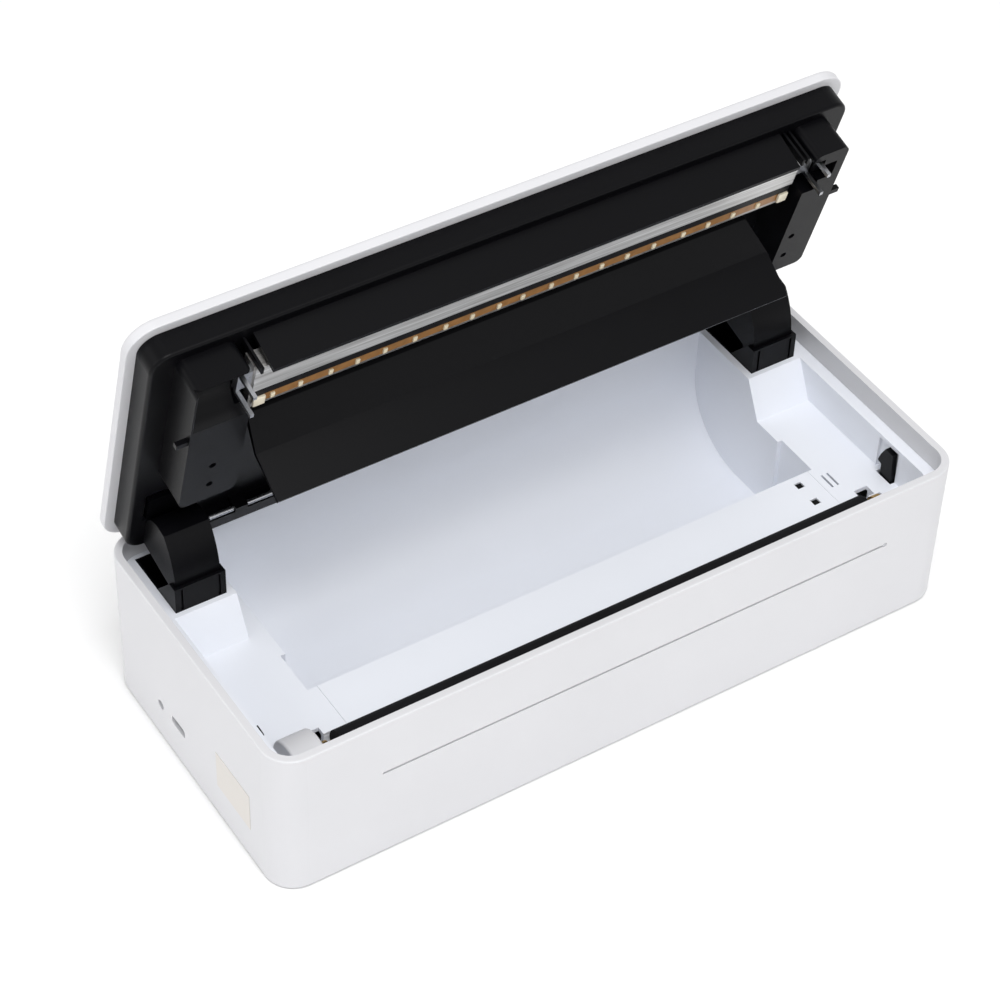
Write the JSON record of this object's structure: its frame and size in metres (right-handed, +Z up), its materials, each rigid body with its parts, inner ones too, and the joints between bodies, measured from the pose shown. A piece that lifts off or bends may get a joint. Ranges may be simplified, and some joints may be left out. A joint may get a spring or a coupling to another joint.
{
  "type": "receipt printer",
  "caption": "Flat portable thermal receipt printer with a hinged lid held open, a drop-in paper bin, a platen roller and a print head strip in the lid.",
  "frame": {"origin": "centre of the case footprint in plan, on the plane the rubber feet rest on", "axes": "+X along the case to its right seen from the front, -Y to the front with the paper slot, +Z up; the lid hinges along X at the back"},
  "size_m": [0.2841, 0.1277, 0.1851],
  "materials": {
    "board_green": "solder mask",
    "brass": "turned",
    "button_grey": "satin",
    "case_white": "fine satin moulding",
    "cell_blue": "shrink sleeve",
    "ceramic": "glazed ceramic",
    "driver_resin": "black resin",
    "flex_amber": "polyimide film",
    "foot_rubber": "matt",
    "frame_black": "satin black moulding",
    "gear_white": "natural acetal",
    "head_aluminium": "extruded, lightly brushed",
    "label_beige": "printed film",
    "light_lens": "clear grey lens",
    "motor_steel": "plated can",
    "roller_rubber": "ground matt rubber",
    "sensor_black": "matt black",
    "steel": "bright zinc"
  },
  "bodies": {
    "case": {"arm_guide_left": "frame_black", "arm_guide_right": "frame_black", "battery_cell_1": "cell_blue", "battery_cell_2": "cell_blue", "blank_label": "label_beige", "bottom_cover": "case_white", "bottom_screw_1": "steel", "bottom_screw_2": "steel", "bottom_screw_3": "steel", "bottom_screw_4": "steel", "foot_1": "foot_rubber", "foot_2": "foot_rubber", "foot_3": "foot_rubber", "foot_4": "foot_rubber", "foot_5": "foot_rubber", "gear_cover": "case_white", "gear_plate": "steel", "hinge_pin_left": "steel", "hinge_pin_right": "steel", "inner_tray": "case_white", "latch_pin_left": "steel", "latch_pin_right": "steel", "lid_switch": "sensor_black", "mainboard": "board_green", "outer_shell": "case_white", "paper_sensor": "sensor_black", "platen_bush_left": "brass", "platen_bush_right": "brass", "rail_cover": "case_white", "status_light": "light_lens", "stepper_motor": "motor_steel", "usb_socket": "steel"},
    "platen": {"platen_shaft": "steel", "platen_rubber": "roller_rubber", "platen_gear": "gear_white"},
    "idler": {"idler_gear": "gear_white"},
    "pinion": {"motor_pinion": "brass", "motor_shaft": "steel"},
    "lid": {"head_spring_1": "steel", "head_spring_2": "steel", "head_spring_3": "steel", "hinge_arm_left": "frame_black", "hinge_arm_right": "frame_black", "lid_frame": "frame_black", "lid_plate": "case_white", "lid_screw_1": "steel", "lid_screw_2": "steel", "lid_screw_3": "steel", "lid_screw_4": "steel", "paper_guard": "frame_black", "torsion_rod": "steel"},
    "head": {"head_ceramic": "ceramic", "head_drivers": "driver_resin", "head_flex": "flex_amber", "head_fork_left": "steel", "head_fork_right": "steel", "head_heatsink": "head_aluminium"},
    "hook_left": {"latch_hook_left": "frame_black"},
    "hook_right": {"latch_hook_right": "frame_black"},
    "button": {"power_button": "button_grey"}
  },
  "joints": [
    {"name": "lid_hinge", "type": "hinge", "parent": "case", "child": "lid", "pos_m": [0, 0.0619, 0.06555], "axis": [-1, 0, 0], "range_deg": [-73.5, 0]},
    {"name": "head_lift", "type": "slide", "parent": "lid", "child": "head", "axis": [0, 0.9588, 0.284], "range_m": [0, 0.001], "stiffness_N_per_m": 8000, "springref_m": -0.001, "deforming": ["head_spring_1", "head_spring_2", "head_spring_3"]},
    {"name": "platen_spin", "type": "hinge", "parent": "case", "child": "platen", "pos_m": [0, -0.043, 0.039], "axis": [1, 0, 0], "continuous": true},
    {"name": "idler_spin", "type": "hinge", "parent": "case", "child": "idler", "pos_m": [0, -0.03066, 0.02666], "axis": [1, 0, 0], "continuous": true},
    {"name": "pinion_spin", "type": "hinge", "parent": "case", "child": "pinion", "pos_m": [0, -0.03284, 0.0142], "axis": [1, 0, 0], "continuous": true},
    {"name": "hook_left_tilt", "type": "hinge", "parent": "case", "child": "hook_left", "pos_m": [-0.1335, -0.0345, 0.031], "axis": [-1, 0, 0], "range_deg": [0, 8]},
    {"name": "hook_right_tilt", "type": "hinge", "parent": "case", "child": "hook_right", "pos_m": [0.1335, -0.0345, 0.031], "axis": [-1, 0, 0], "range_deg": [0, 8]},
    {"name": "button_press", "type": "slide", "parent": "case", "child": "button", "axis": [1, 0, 0], "range_m": [0, 0.0006], "stiffness_N_per_m": 600, "springref_m": -0.001}
  ],
  "couplings": [
    {"joint": "idler_spin", "follows": "platen_spin", "ratio": -0.93333},
    {"joint": "pinion_spin", "follows": "platen_spin", "ratio": 2.3333}
  ]
}
